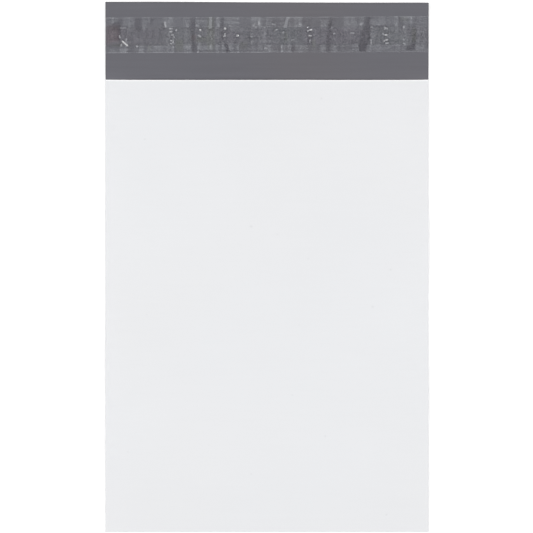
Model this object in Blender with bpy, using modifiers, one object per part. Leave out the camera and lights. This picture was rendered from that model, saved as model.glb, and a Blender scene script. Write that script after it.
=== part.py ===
"""A flat poly mailer bag that lies on its back with the flap folded open.

One co-extruded film, pale outside and grey inside, is folded once at the bottom and welded down both
sides. A band of adhesive crosses the inside of the flap, under a clear release liner.

Frame: +X across the bag, +Y from the bottom crease to the flap, +Z out of the front panel. The origin
is at the middle of the bag's outline, on the surface that the bag lies on.
"""

import math

import bmesh
import bpy
from mathutils import Matrix, Vector

# Film, in metres
BAG_WIDTH = 0.1905
POCKET_LENGTH = 0.2667
FLAP_LEFT = 0.0459
FLAP_RIGHT = 0.0453
FILM_GAUGE = 0.0000635
CREASE_GAP = 0.00025

# Loft of the front panel over the back one: at its middle, at the mouth's lip, and its soft waves
PANEL_LOFT = 0.0066
LIP_LOFT = 0.0058
WAVE_HEIGHT = 0.0004
WAVE_LENGTH = 0.11

# How squarely the loft meets the welds, the crease and the lip: the powers of the curves it follows
WELD_FULLNESS = 4
CREASE_FULLNESS = 5
LIP_FULLNESS = 4

# Side welds: how wide the fused bar is, how far its bead stands out, how far short of the lip it ends
WELD_WIDTH = 0.0012
BEAD_PROUD = 0.0001
WELD_INSET = 0.0002
WELD_END_ROUNDNESS = 0.98

# Adhesive band and release liner. Both are cut off with the bag, and both run a little askew.
BAND_WIDTH = 0.0115
BAND_THICKNESS = 0.0001
LINER_WIDTH = 0.0217
LINER_THICKNESS = 0.00004
STRIP_ABOVE_MOUTH = 0.0265
STRIP_SLOPE = 0.0039
SEAT_GAP = 0.00005

# Mesh density
COLUMNS = 24
PANEL_ROWS = 52
CREASE_ROWS = 8

# Worked out from the sizes above
FILM_HALF_WIDTH = BAG_WIDTH / 2 - BEAD_PROUD
POCKET_HALF_WIDTH = FILM_HALF_WIDTH - WELD_WIDTH
CREASE_RADIUS = (CREASE_GAP + FILM_GAUGE) / 2
BACK_Z = FILM_GAUGE / 2
FRONT_Z = BACK_Z + 2 * CREASE_RADIUS
BAG_LENGTH = POCKET_LENGTH + max(FLAP_LEFT, FLAP_RIGHT)
MOUTH_Y = POCKET_LENGTH - BAG_LENGTH / 2
CREASE_Y = -BAG_LENGTH / 2 + CREASE_RADIUS + FILM_GAUGE / 2
PANEL_RUN = MOUTH_Y - CREASE_Y


def clear_scene():
    for old in list(bpy.data.objects):
        bpy.data.objects.remove(old)


def screen_colour(red, green, blue):
    """A colour given as it looks on a screen, 0 to 255, as the linear values that a shader takes."""
    def linear(value):
        share = value / 255
        return share / 12.92 if share <= 0.04045 else ((share + 0.055) / 1.055) ** 2.4

    return (linear(red), linear(green), linear(blue), 1)


def plastic(name, colour, roughness, see_through=0.0):
    material = bpy.data.materials.new(name)
    material.use_nodes = True
    shader = material.node_tree.nodes["Principled BSDF"]
    shader.inputs["Base Color"].default_value = colour
    shader.inputs["Roughness"].default_value = roughness
    shader.inputs["Metallic"].default_value = 0
    shader.inputs["Transmission Weight"].default_value = see_through
    material.diffuse_color = colour
    return material


def collection(name):
    made = bpy.data.collections.new(name)
    bpy.context.scene.collection.children.link(made)
    return made


def mesh_object(name, shape, home):
    """Turns a bmesh into an object in the collection home."""
    mesh = bpy.data.meshes.new(name)
    shape.to_mesh(mesh)
    shape.free()
    made = bpy.data.objects.new(name, mesh)
    home.objects.link(made)
    return made


def front_rise(x, y):
    """How far the front panel lifts here. Both welds and the crease hold it down; the mouth gapes."""
    across = min(abs(x) / POCKET_HALF_WIDTH, 1)
    along = (y - CREASE_Y) / PANEL_RUN
    held = (1 - across**WELD_FULLNESS) * (1 - (1 - along) ** CREASE_FULLNESS)
    loft = PANEL_LOFT + (LIP_LOFT - PANEL_LOFT) * along**LIP_FULLNESS
    wave = math.sin(2 * math.pi * (y + x / 2) / WAVE_LENGTH) * math.cos(2 * math.pi * x / WAVE_LENGTH)
    return held * (loft + WAVE_HEIGHT * wave)


def flap_depth(x):
    """The flap is cut a little out of square, so its depth changes evenly from side to side."""
    share = x / BAG_WIDTH + 0.5
    return FLAP_LEFT + (FLAP_RIGHT - FLAP_LEFT) * share


def column_x(step):
    """The film's columns crowd towards the welds; the outermost at each side spans the weld."""
    if step in (0, COLUMNS):
        return math.copysign(FILM_HALF_WIDTH, step - COLUMNS / 2)
    return -POCKET_HALF_WIDTH * math.cos(math.pi * (step - 1) / (COLUMNS - 2))


def film_rows(x):
    """(y, z) of the film's middle surface at this x, from the flap's cut edge round to the mouth's lip."""
    rows = [(MOUTH_Y + flap_depth(x), BACK_Z), (MOUTH_Y, BACK_Z)]
    for step in range(CREASE_ROWS + 1):
        turn = math.pi * step / CREASE_ROWS
        rows.append(
            (
                CREASE_Y - CREASE_RADIUS * math.sin(turn),
                BACK_Z + CREASE_RADIUS * (1 - math.cos(turn)),
            )
        )
    for step in range(1, PANEL_ROWS + 1):
        y = CREASE_Y + PANEL_RUN * (1 - math.cos(math.pi * step / PANEL_ROWS)) / 2
        rows.append((y, FRONT_Z + front_rise(x, y)))
    return rows


def side_welds(home):
    """The fused bar down each side. It lies between the films' middle surfaces, round like the crease."""
    low = Vector((POCKET_HALF_WIDTH, CREASE_Y - CREASE_RADIUS, BACK_Z))
    high = Vector((BAG_WIDTH / 2, MOUTH_Y - WELD_INSET, FRONT_Z))
    bar = bmesh.new()
    place = Matrix.Translation((low + high) / 2) @ Matrix.Diagonal((*(high - low), 1))
    bmesh.ops.create_cube(bar, size=1, matrix=place)
    lowest = [edge for edge in bar.edges if all(point.co.y < CREASE_Y for point in edge.verts)]
    along_crease = [edge for edge in lowest if edge.verts[0].co.z == edge.verts[1].co.z]
    bmesh.ops.bevel(
        bar,
        geom=along_crease,
        offset=CREASE_RADIUS * WELD_END_ROUNDNESS,
        segments=CREASE_ROWS // 2,
        profile=0.5,
        affect="EDGES",
    )
    welds = mesh_object("side_welds", bar, home)
    mirror = welds.modifiers.new("both sides", "MIRROR")
    mirror.use_axis = (True, False, False)
    mirror.use_mirror_merge = False
    welds.hide_render = True
    welds.display_type = "WIRE"
    return welds


def mailer_film(home, outside, inside, welds):
    """The bag's one film: a flat blank laid round its fold, given its gauge, and fused down the sides."""
    row_count = len(film_rows(0))
    blank = bmesh.new()
    bmesh.ops.create_grid(blank, x_segments=COLUMNS, y_segments=row_count - 1, size=0.5)
    for point in blank.verts:
        x = column_x(round((point.co.x + 0.5) * COLUMNS))
        row = round((0.5 - point.co.y) * (row_count - 1))
        y, z = film_rows(x)[row]
        point.co = (x, y, z)
    bmesh.ops.reverse_faces(blank, faces=blank.faces)
    film = mesh_object("mailer_film", blank, home)
    film.data.shade_smooth()
    film.data.materials.append(outside)
    film.data.materials.append(inside)
    gauge = film.modifiers.new("film gauge", "SOLIDIFY")
    gauge.thickness = FILM_GAUGE
    gauge.offset = 0
    gauge.use_even_offset = True
    gauge.material_offset = 1
    fused = film.modifiers.new("side welds", "BOOLEAN")
    fused.operation = "UNION"
    fused.solver = "EXACT"
    fused.object = welds
    return film


def flap_strip(name, home, material, width, thickness, seat):
    """A flat strip across the flap, cut off flush with the film's sides, its underside at height seat."""
    outline = bpy.data.curves.new(name, "CURVE")
    outline.dimensions = "2D"
    outline.fill_mode = "BOTH"
    outline.extrude = thickness / 2
    corners = [(-1, -1), (1, -1), (1, 1), (-1, 1)]
    edge = outline.splines.new("POLY")
    edge.points.add(len(corners) - 1)
    for point, (end, side) in zip(edge.points, corners):
        x = end * FILM_HALF_WIDTH
        point.co = (x, side * width / 2 + STRIP_SLOPE * x, 0, 1)
    edge.use_cyclic_u = True
    strip = bpy.data.objects.new(name, outline)
    strip.location = (0, MOUTH_Y + STRIP_ABOVE_MOUTH, seat + thickness / 2)
    outline.materials.append(material)
    home.objects.link(strip)
    return strip


def main():
    clear_scene()
    bag = collection("poly_mailer_bag")
    helpers = collection("helpers")
    outside = plastic("film_outside", screen_colour(236, 237, 239), 0.45)
    inside = plastic("film_inside", screen_colour(110, 109, 114), 0.45)
    glue = plastic("hot_melt", screen_colour(150, 149, 152), 0.3, see_through=0.6)
    clear = plastic("clear_liner", screen_colour(225, 226, 230), 0.15, see_through=0.9)

    mailer_film(bag, outside, inside, side_welds(helpers))
    band_seat = FILM_GAUGE + SEAT_GAP
    liner_seat = band_seat + BAND_THICKNESS + SEAT_GAP
    flap_strip("adhesive_band", bag, glue, BAND_WIDTH, BAND_THICKNESS, band_seat)
    flap_strip("release_liner", bag, clear, LINER_WIDTH, LINER_THICKNESS, liner_seat)


main()
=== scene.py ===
"""The looks of a flat poly mailer bag that lies on its back with its flap open.

The film is one blank, white outside and grey inside, laid round its bottom crease, with a melted bead
down each side. On the flap a band of hot melt lies under a clear release liner. The frame is that of
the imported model: +X across the bag, +Y towards the flap, +Z out of the front panel. Lengths are metres,
or millimetres where a comment says so.
"""

import math
from collections import namedtuple

import bpy
import numpy as np
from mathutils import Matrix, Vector


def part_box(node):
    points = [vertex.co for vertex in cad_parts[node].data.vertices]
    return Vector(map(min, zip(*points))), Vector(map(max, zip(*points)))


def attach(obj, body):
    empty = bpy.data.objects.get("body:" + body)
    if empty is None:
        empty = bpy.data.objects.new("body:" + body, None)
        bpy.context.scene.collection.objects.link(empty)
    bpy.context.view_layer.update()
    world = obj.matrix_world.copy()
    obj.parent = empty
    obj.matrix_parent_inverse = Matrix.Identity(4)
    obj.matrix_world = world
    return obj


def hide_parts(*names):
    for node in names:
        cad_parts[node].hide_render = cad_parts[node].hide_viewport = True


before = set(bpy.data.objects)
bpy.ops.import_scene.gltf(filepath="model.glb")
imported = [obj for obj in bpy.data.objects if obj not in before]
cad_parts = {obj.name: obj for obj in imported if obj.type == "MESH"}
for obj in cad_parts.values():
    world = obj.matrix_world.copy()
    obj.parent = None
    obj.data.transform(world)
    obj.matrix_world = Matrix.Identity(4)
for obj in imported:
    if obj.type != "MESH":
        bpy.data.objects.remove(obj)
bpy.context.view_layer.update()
film_low, film_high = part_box("mailer_film")
band_low, band_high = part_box("adhesive_band")
liner_low, liner_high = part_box("release_liner")

MM = 0.001
SEED = 11

# The film, its welds and the strips' slant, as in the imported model
FILM_GAUGE = 0.0000635
CREASE_GAP = 0.00025
FLAP_LEFT = 0.0459
FLAP_RIGHT = 0.0453
WELD_WIDTH = 0.0012
WELD_INSET = 0.0002
BEAD_PROUD = 0.0001
STRIP_SLOPE = 0.0039

# The strips on the flap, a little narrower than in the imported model
BAND_WIDTH = 0.0108
LINER_WIDTH = 0.021
STRIP_INSET = 0.00003
STRIP_DROP = 0.0002

# The front panel's loft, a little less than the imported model's, and the powers of its curves from the
# welds, the crease and the lip
PANEL_LOFT = 0.0054
LIP_LOFT = 0.0044
WAVE_HEIGHT = 0.0004
WAVE_LENGTH = 0.11
WELD_FULLNESS = 4
CREASE_FULLNESS = 3
LIP_FULLNESS = 4

# Worked out from the frame
BAG_WIDTH = film_high.x - film_low.x
FILM_HALF_WIDTH = BAG_WIDTH / 2 - BEAD_PROUD
POCKET_HALF_WIDTH = FILM_HALF_WIDTH - WELD_WIDTH
STRIP_HALF_WIDTH = BAG_WIDTH / 2 - STRIP_INSET
CREASE_RADIUS = (CREASE_GAP + FILM_GAUGE) / 2
MOUTH_Y = film_high.y - FLAP_LEFT
CREASE_Y = film_low.y + CREASE_RADIUS + FILM_GAUGE / 2
PANEL_RUN = MOUTH_Y - CREASE_Y
STRIP_Y = (liner_low.y + liner_high.y) / 2 - STRIP_DROP

# What wanders along a line: its mean, how far it swings each way, and how long its swings are
Wave = namedtuple("Wave", "mean swing length")

# How the limp film lies: the table it rests on is at 0. What grows or widens does so over this share of
# the flap's depth or the panel's length, and EDGE_FADES is the share of the lift lost over the flap.
EDGE_LIFT = 0.0011
EDGE_REACH = 0.022
EDGE_UNEVEN = Wave(0.5, 0.5, 0.085)
EDGE_FADES = 0.6
RIPPLE = 0.0005
RIPPLE_GROWS = 0.6
RIPPLE_UNEVEN = Wave(0.5, 0.5, 0.052)
CURL = 0.0016
CURL_POWER = 3
CURL_UNEVEN = Wave(0.55, 0.45, 0.104)
FLAP_SHORT = 0.00017
FLAP_WIDENS = 0.125
LIP_RIPPLE = 0.0011
LIP_RIPPLE_WAVE = 0.07
LIP_REACH = 0.045
LIP_SHORT = 0.00015
LIP_DRAWN = 0.0004
LIP_SQUARE = 6
PANEL_SWELL = 0.0005
SWELL_WAVE = 0.075
RIPPLES_GROW = 0.05

# The bead of a weld, in section and along its edges
BEAD_SIDES = 12
BEAD_INWARD = 0.8
BEAD_LEAST = 0.00001
BEAD_OUT = Wave(0.45, 0.4, 0.006)
BEAD_UP = Wave(0.2, 0.35, 0.009)

# The adhesive over the flap: how it thins out to its edges, and how uneven it is
BAND_DROP = -0.0008
BAND_SEAT = 0.00002
BAND_THICKNESS = band_high.z - band_low.z
BAND_EDGE = 0.0012
BAND_EDGE_SHARE = 0.15
BAND_FADE = 0.0016
BAND_LUMPS = 0.12
BAND_LUMP_WAVE = 0.006
BAND_WOBBLE = Wave(0, 0.00012, 0.011)
BAND_WOBBLE_PLACE = (0.004, 0.0056)

# The liner over both, and how it lifts where it is loose, over air and along its rim
LINER_SEAT = 0.00004
LINER_THICKNESS = liner_high.z - liner_low.z
OVER_BAND = 1.15
OFF_BAND = 0.00003
STEP_INSIDE = 0.0006
STEP_OUTSIDE = 0.0012
LOOSE_LIFT = 0.00006
LOOSE_WAVE = 0.006
LOOSE_DRAWN = 0.35
AIR_LIFT = 0.00005
RIM_LIFT = 0.00016
RIM_REACH = 0.0022
RIM_UNEVEN = Wave(1, 1, 0.022)
WETTED_FLATTER = 0.8


def table(kind, *rows):
    return [kind(*row) for row in rows]


# A short fan of ripples beside a side weld. Its reach is how far it goes each way.
Pucker = namedtuple("Pucker", "side at reach height")
PUCKERS = table(
    Pucker,
    (-1, 0.1, 0.008, 0.00016), (-1, 0.079, 0.014, 0.00022), (-1, 0.058, 0.006, 0.00014),
    (-1, -0.043, 0.009, 0.00018), (-1, -0.108, 0.008, 0.00016), (1, 0.092, 0.007, 0.00012),
    (1, 0.054, 0.01, 0.0002), (1, -0.004, 0.016, 0.0002), (1, -0.055, 0.01, 0.00016),
    (1, -0.121, 0.01, 0.00012),
)
PUCKER_WAVE = 0.0072
PUCKER_DEPTH = 0.0085
PUCKER_START = 0.003
PUCKER_BEND = 0.25
BEND_WAVE = 0.03
WELD_RIPPLE = Wave(0, 0.0001, 0.012)
WELD_RIPPLE_DEPTH = 0.006
WELD_RIPPLE_START = 0.002

# A long soft crease in the front panel, with its turn in degrees from across
Crease = namedtuple("Crease", "x y turn length width height")
CREASES = table(
    Crease,
    (-0.06, 0.07, 52, 0.07, 0.005, 0.00035), (0.052, 0.066, -38, 0.08, 0.006, 0.0004),
    (-0.048, -0.01, 8, 0.09, 0.0045, 0.00022), (0.03, -0.045, -12, 0.11, 0.005, -0.00025),
    (-0.058, -0.105, -44, 0.085, 0.0055, 0.00035), (0.06, -0.112, 40, 0.08, 0.005, 0.00032),
    (0.01, 0.02, 84, 0.1, 0.006, -0.00022),
)
CREASE_CORE = 0.15
CREASE_BEND = 0.004
CREASE_BEND_RUN = 0.03

# The liner's marks, in millimetres from the bag's middle and above the liner's own middle line.
# A streak runs up the liner, and lean is how far right of its foot its top lies.
Streak = namedtuple("Streak", "at width low high amount lean", defaults=[0])

# Where the liner has sunk flat on to what is under it, it looks dark
WETTED = table(
    Streak,
    (-92.2, 1, 4.8, 5.6, 0.5), (-91, 1.2, 1, 1.9, 0.4), (-88.9, 4.4, 3, 7.6, 0.75, 0.8),
    (-87.2, 2.2, 0.6, 2.4, 0.8), (-88.6, 1, -1.6, 1, 0.6), (-88, 3.6, -2.8, -1.6, 0.9),
    (-86.2, 2.6, 5.2, 10.4, 0.25), (-76, 3.6, 2.6, 10.2, 0.65), (-75.8, 2.2, -2.4, 2.6, 0.5, 0.2),
    (-68, 1.2, 6.2, 10.4, 0.5, 2.6), (-64.8, 3.2, -6, 3.8, 0.22), (-62.4, 0.8, 2.6, 5, 0.4),
    (-61, 0.9, 3, 7, 0.8, -0.6), (-50.4, 2.8, -4.6, 4, 0.25), (-43.4, 2.6, 7, 10.4, 0.15),
    (-43.9, 1.9, 2.4, 7.2, 0.42), (-43.8, 1.4, -9.8, 2.4, 0.65, -0.3), (-42.5, 1.6, -9.6, -3, 0.2),
    (-26.2, 1.4, 4.4, 10.4, 0.5, 0.2), (-26.1, 1.4, -3.6, 2.2, 0.7), (-23.6, 2.2, -10.3, -5, 0.9, -1.6),
    (-13.7, 6.4, -8, 2.2, 0.33), (-9, 1.8, 1, 1.8, 0.5), (-9.1, 1.6, -2.8, -2, 0.5),
    (-2.6, 2.2, 0.8, 1.8, 0.5), (-2.6, 1.6, -2.6, -1.6, 0.4), (-2.3, 1, -8.6, -5.2, 0.5),
    (3.6, 1.6, -6.6, -4.6, 0.3), (15.6, 2.2, -10, -6.2, 0.5), (22.2, 1.5, 6.6, 10.4, 0.45, -0.4),
    (22.7, 1.2, -5.9, -4.6, 0.4), (24.7, 1.8, 3.1, 3.8, 0.6), (25.4, 2, -2.2, -1.4, 0.5),
    (30.4, 3.2, -10.2, 8, 0.26), (37.4, 1.8, 5.6, 7.8, 1.1, 0.2), (37.6, 1, 7.8, 10, 0.6, 0.2),
    (36.9, 2.8, 4.9, 5.9, 1.3), (36.7, 1.8, 3.6, 4.6, 1.2), (36.9, 1.2, 1.4, 3.2, 0.8),
    (36.2, 2.2, -10.2, 1.4, 0.65, 0.2), (59.6, 1.6, 6, 10.3, 0.7, 0.5), (58.5, 3.6, 6.2, 8.6, 0.4),
    (58.9, 4.2, 3, 6.2, 0.7, 0.6), (60, 2, -3, 3.6, 0.9, 0.3), (57, 4.4, -3.6, 3.6, 0.75, 1.6),
    (57, 5.2, -6.6, -3, 0.8, 0.8), (56.3, 4.4, -10.2, -5.8, 0.9, 0.2), (78.1, 1.1, 6.2, 10.4, 0.8),
    (86.6, 2, 0, 5.4, 0.2), (86.3, 2.6, -4.2, 0.4, 0.55, 0.4), (86.6, 2, -6.8, -3.4, 0.9, 0.4),
    (93.9, 2.6, -8.4, 4.4, 0.32), (84.4, 4.6, -9.5, -6.6, 0.95, 1.2),
)

# Where air lies under it, it looks pale and milky
AIRED = table(
    Streak,
    (-91.6, 3, 6.8, 10.9, 0.7), (-90.3, 6.4, -10.6, -7.4, 0.6), (-84.6, 4.6, -10.6, -7.2, 0.9),
    (-83.6, 2.8, 5.4, 11, 0.3), (-82.2, 3.4, -10.4, -3.6, 0.7), (-80.2, 3.6, 1.6, 11, 0.7),
    (-80.2, 2.6, 5, 7.4, 0.5), (-74.7, 5, -10.6, -6.5, 0.85), (-72.3, 2, 3, 11, 0.5),
    (-70.4, 3.6, 7, 11, 0.35), (-69.2, 1.4, -8.8, -6.6, 1.4), (-70.2, 0.9, -10.2, -8.2, 0.9, -0.6),
    (-68.3, 0.9, -10.2, -8.2, 0.9, 0.6), (-65, 3.4, -7.8, -6.4, 0.3), (-63, 9, -10.6, -6.4, 0.42),
    (-59.9, 1, 4.6, 7.6, 0.9, -0.5), (-58.4, 8.4, 5.4, 11.2, 0.65), (-56.8, 5, -6, 5.4, 0.3),
    (-56.7, 3.6, -10.6, -6.4, 0.7), (-47.1, 4.2, 4.6, 11, 0.8), (-47.1, 3.8, -4, 3.6, 0.4),
    (-47.1, 4.4, -10.6, -5, 0.9), (-41.1, 2.6, 4.6, 11, 0.8), (-40.3, 1.5, -10.5, -4.6, 1.2, 0.9),
    (-39.6, 3, -3.6, 4.6, 0.4), (-37.2, 5, 6.6, 11, 0.5), (-36.4, 3, 0.8, 5.4, 0.5),
    (-37.2, 4.4, -10.5, -5.6, 0.5), (-33.3, 1.8, 3.8, 10.8, 1.9), (-33.1, 1.2, -1, 2.4, 0.7),
    (-33, 1.4, -8.4, -5.2, 1.1), (-29.6, 2.8, -2.4, 5, 0.42), (-28.8, 2.8, 5, 11, 0.75),
    (-25.4, 2.6, -10.4, -4, 0.4), (-28, 4.6, -10.6, -5.5, 0.6), (-22.2, 1.8, -9.4, -5.6, 0.5, -0.8),
    (-20.8, 9, 5.5, 11, 0.75), (-19, 5.4, 2, 5.5, 0.6), (-19.4, 6, -10.6, -5, 0.9),
    (-6, 7, 3, 11, 0.65), (-5, 9, -6, 3, 0.55), (-4.4, 13.6, -10.6, -6, 0.7), (2.4, 6, 3, 11, 0.75),
    (4.2, 6, -10, 3, 0.45), (11.5, 1.9, 3.9, 10.8, 1.8, 1.5), (8.9, 1.3, -10.3, -5.8, 1.5),
    (9.8, 2.4, -2.8, 1, 0.5), (10.6, 0.9, -9.8, -6, 0.5), (16.8, 2.8, -10.2, 6, 0.32),
    (13.1, 2.2, -10.4, -5.8, 0.6), (14.8, 3.6, 4, 11, 0.4), (19, 4.6, 4.6, 11, 0.7),
    (19.2, 4.6, -10.5, -6.4, 0.75), (24.6, 3.4, 6, 11, 0.5), (25.3, 1, -4.8, -2.8, 1.6),
    (22.8, 2.6, -9.8, -6, 0.5), (33.9, 4.8, 4.6, 11.2, 0.9), (33.3, 3, -3, 0.4, 0.35),
    (32.9, 3.8, -10.4, -6, 0.5), (39.3, 2.6, -10.5, -6, 0.7), (39.2, 1.5, -3.6, -2, 0.5),
    (43, 4.4, -9.6, -3, 0.35), (49.4, 8, 2, 11.2, 0.38), (50.3, 1.4, 7, 10, 0.5),
    (48.4, 1.8, 6.6, 10.4, 0.3), (52.1, 4, -9.2, -5.3, 0.8), (55.6, 2.6, 2, 11.2, 0.9),
    (62.2, 3, -6, 5, 0.6), (64.5, 7.4, 5, 11.2, 0.25), (64.4, 8.8, -8.9, -6, 0.55),
    (69, 2.2, 5.4, 11.2, 0.2), (71.8, 4.6, -5.6, 5.4, 0.2), (71.3, 4.8, -8.9, -6.2, 0.6),
    (75.9, 2.4, 4.6, 11.2, 0.85), (76.4, 2.6, 0, 4.6, 0.4), (76, 4.4, -8.9, -5.8, 0.55),
    (80.8, 4.2, -6, 11.2, 0.42), (80.4, 3.4, -9, -6, 0.5), (84.2, 2.6, 5.4, 11.2, 0.8),
    (87.8, 2.4, 4.4, 9, 0.5), (88.6, 2, -9.8, -5.6, 0.5), (90.8, 3.4, -8.8, -5.5, 0.25),
    (90.2, 4.6, 0.6, 1.8, 0.7), (90.4, 6.4, -9, 11, 0.35),
)

# Where it lies close and even, its haze is even too
CALM = table(
    Streak,
    (-66.8, 7, 3, 7, 0.8), (-51.7, 4.6, -10, 11, 1), (-33.3, 1.8, 3.8, 10.8, 1),
    (-13.9, 4.6, -9.4, 11, 1), (11.5, 1.9, 3.9, 10.8, 1, 1.5), (28.7, 4.6, -10.4, 11, 1),
    (42.8, 4.4, 4.5, 11, 0.8), (93.6, 2.4, -11, 11, 0.7),
)

# How soft the streaks' sides and ends are, in millimetres, and how their sides wobble
AIRED_SOFT = (0.3, 0.4)
WETTED_SOFT = (0.5, 0.5)
WOBBLE = 0.2
WOBBLE_WAVE = 3 * MM

# Faint tints under the liner, in the same millimetres: red above 0 is ruddy, below 0 olive
Tint = namedtuple("Tint", "at above width height red")
TINTS = table(
    Tint,
    (-91, 0.6, 7.6, 11, 1), (-88.5, -5.4, 7, 2.8, -0.7), (-69.2, -8, 2.2, 4, -0.8),
    (-51.7, -6, 4.6, 6.6, -1), (-43.2, -1.4, 3, 3, 1), (-38.2, -2.6, 7, 3, -0.9),
    (-33.2, 1, 4.4, 20, -1), (-13.9, -6.2, 4.6, 4, -0.6), (11.2, -1.5, 2, 5, -0.7),
    (27.5, -5.2, 2.2, 5, -1), (80.8, 9.2, 4.2, 3.6, -0.6), (86.6, -0.5, 2.6, 8, -0.9),
)
TINT_FADE = (0.7, 1.3)

# Sharp little folds in the liner, in millimetres too: turn is in degrees from across the bag, and white
# is how bright a painted glint, a painted highlight, lies on the fold
Fold = namedtuple("Fold", "at above length width white turn", defaults=[0])
FOLDS = table(
    Fold,
    (-83.7, -4.8, 4.7, 0.8, 1, -42), (-86.7, -0.9, 1.9, 0.6, 0.42, -70),
    (-82.9, -2.6, 1.4, 0.9, 0.35, 70), (-85.8, -5.8, 1.4, 1, 0.35, -70), (-84.5, 4.3, 3.5, 0.6, 0.24),
    (-76.5, -6.5, 1.3, 1, 0.32, -60), (-72.4, 3.4, 2.4, 0.7, 0.14, 90),
    (-59.9, 6.1, 3.4, 0.8, 0.35, -80), (-56.6, 3.8, 2, 0.7, 0.46), (-56.6, 2, 1.8, 0.8, 0.52),
    (-55.6, 0.1, 1.6, 0.7, 0.48), (-57.8, 0.2, 0.9, 0.6, 0.2), (-57.2, -1.3, 0.9, 0.6, 0.24, 40),
    (-54.7, -1.2, 0.9, 0.6, 0.5, -40), (-56.4, -3.2, 1.3, 0.6, 0.54, -30),
    (-55.1, -2.9, 0.8, 0.5, 0.5, 30), (-55.4, -4.2, 1.1, 0.6, 0.54, 60), (-56.6, -5, 1, 0.6, 0.55, -40),
    (-58, -5.8, 0.9, 0.7, 0.26, -40), (-55.3, -6.9, 0.9, 0.6, 0.3, 60),
    (-53.4, 2.9, 1.1, 0.8, 0.42, 40), (-47.2, 5.8, 1.8, 1.4, 0.1, 90), (-40.6, -10, 1.3, 0.8, 0.32),
    (-41.5, 5.6, 1.2, 1, 0.2, 90), (-39.3, 3, 1, 0.8, 1), (-39.7, -0.6, 1.8, 0.7, 0.48, -40),
    (-32.6, -2.2, 0.9, 0.7, 0.3, 90), (-28.5, 5.8, 1.8, 1.1, 0.14, 90),
    (-24.7, 3.7, 1.3, 0.9, 0.86, -30), (-24.9, 0.6, 1, 0.6, 0.45, 90), (-24.9, -0.6, 1, 0.8, 0.55),
    (-24, 5.7, 1.4, 0.6, 0.12, 25), (-21.9, 5.4, 0.9, 0.7, 0.28, 45), (-17.3, -0.4, 1.3, 1.1, 0.66, 80),
    (-9.1, 0.5, 1, 0.7, 0.28), (-9.1, -1.1, 1, 0.8, 0.28), (-9, -4.6, 1.8, 0.9, 0.12, 90),
    (-7.7, 5.8, 1.4, 1.1, 0.26, 30), (-6.5, 4.4, 1.2, 0.7, 0.28, 90), (-4.8, 6.9, 2.6, 1.3, 0.24, 90),
    (-1.4, 4.3, 1.1, 0.9, 0.32), (-1.2, 0.5, 1.2, 0.8, 0.2), (-0.7, -7.8, 1.8, 0.8, 0.26),
    (5.5, 2.8, 1.8, 0.6, 0.46, 20), (4, 6, 2.4, 0.7, 0.34, -10), (9.7, 1.4, 1, 1, 0.35, 90),
    (9, -2.2, 0.9, 0.7, 0.2, 90), (15, -3.1, 1.8, 0.6, 0.28, 10), (19.6, 6.1, 2.1, 1.4, 0.16, -35),
    (24.2, 4.3, 0.9, 0.8, 0.35, 60), (24.2, 2.3, 1, 0.7, 0.7, 40), (25.4, -0.65, 1.7, 0.7, 0.75),
    (25.3, -3.8, 1.8, 0.7, 0.2, 80), (25.8, 2.8, 1.4, 0.9, 0.82, 10), (38.4, 3.9, 1.3, 0.9, 0.16),
    (39.6, 0.6, 1.3, 0.9, 0.32), (48.5, 6, 1.4, 0.8, 0.1), (50.2, 0.9, 2.6, 0.9, 0.28),
    (55.5, 6, 1.5, 1.2, 0.2, 90), (61.4, -4.4, 3, 0.6, 0.3, 90), (61.6, 4.2, 1.6, 0.6, 0.32),
    (65.5, 5.9, 1.4, 0.8, 0.12, 20), (68.4, 0.2, 1.4, 0.8, 0.35, -70), (69.1, -3.9, 1, 0.7, 0.5, 40),
    (70, 3.7, 2.8, 0.6, 0.44, -32), (69.5, 3.2, 1.2, 0.6, 0.4, 25), (70.1, -0.35, 1.6, 0.8, 0.7),
    (70.5, -3.3, 1.3, 0.7, 0.65), (70.6, -5.15, 1.8, 0.7, 0.52), (73.1, -0.2, 1.2, 0.5, 0.12, 90),
    (76.3, 5.6, 1.4, 1.2, 0.12), (80.6, 4.2, 1.3, 1.1, 0.34, 90), (80.6, -3.3, 1.3, 0.7, 0.26),
    (80.9, -5.6, 1.8, 0.8, 0.3, -40),
)

# A fold whiter than FOLD_SHARP has the full slope, and one whiter than FOLD_SHOWN a finer mesh
FOLD_SLOPE = 0.38
FOLD_BLUNT = 0.5
FOLD_SHARP = 0.35
FOLD_SHOWN = 0.18
FOLD_STEEP = 45
FOLD_BACK = 0.35
FOLD_TALLEST = 0.00034
FOLD_END = 0.0003

# How the painted glint of a fold fades, in shares of its size, and the dark line beside it
PALE_ACROSS = (0.4, 0.75)
PALE_ALONG = 0.42
PALE_PAST_END = 0.0002
BESIDE_START = 0.0003
BESIDE_FADE = (0.0005, 0.0010)
BESIDE_STRENGTH = 1.6
BESIDE_HIDDEN = 3

# Groups of small trapped bubbles, in millimetres
Bubbles = namedtuple("Bubbles", "at scatter low high count")
BUBBLES = table(
    Bubbles,
    (-86, 2.4, -5.4, 4.6, 14), (-55.6, 1.8, -6.4, 4.8, 22), (-39.4, 1.4, -2, 4, 8),
    (-22.6, 2.8, -3, 5, 16), (-1.5, 8.4, -6, 6.4, 46), (14, 3, -5, 3, 8), (25, 1.8, -6, 5, 16),
    (37.2, 1.8, 0, 5, 8), (58.5, 2.6, -8, 3, 10), (70.4, 1.8, -6.4, 5, 16), (80.9, 1.8, -7, 5, 14),
)

# A bubble in metres, and its dome and its rim in shares of its radius
BUBBLE_RADIUS = (0.0004, 0.0008)
BUBBLE_HEIGHT = 0.00007
BUBBLE_TALL = (0.5, 1)
BUBBLE_STRETCH = (0.8, 1.25)
BUBBLE_DOME = (0.1, 1)
BUBBLE_RIM = (0.5, 1.1)
RIM_FADE = (1.2, 1.9)

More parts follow.
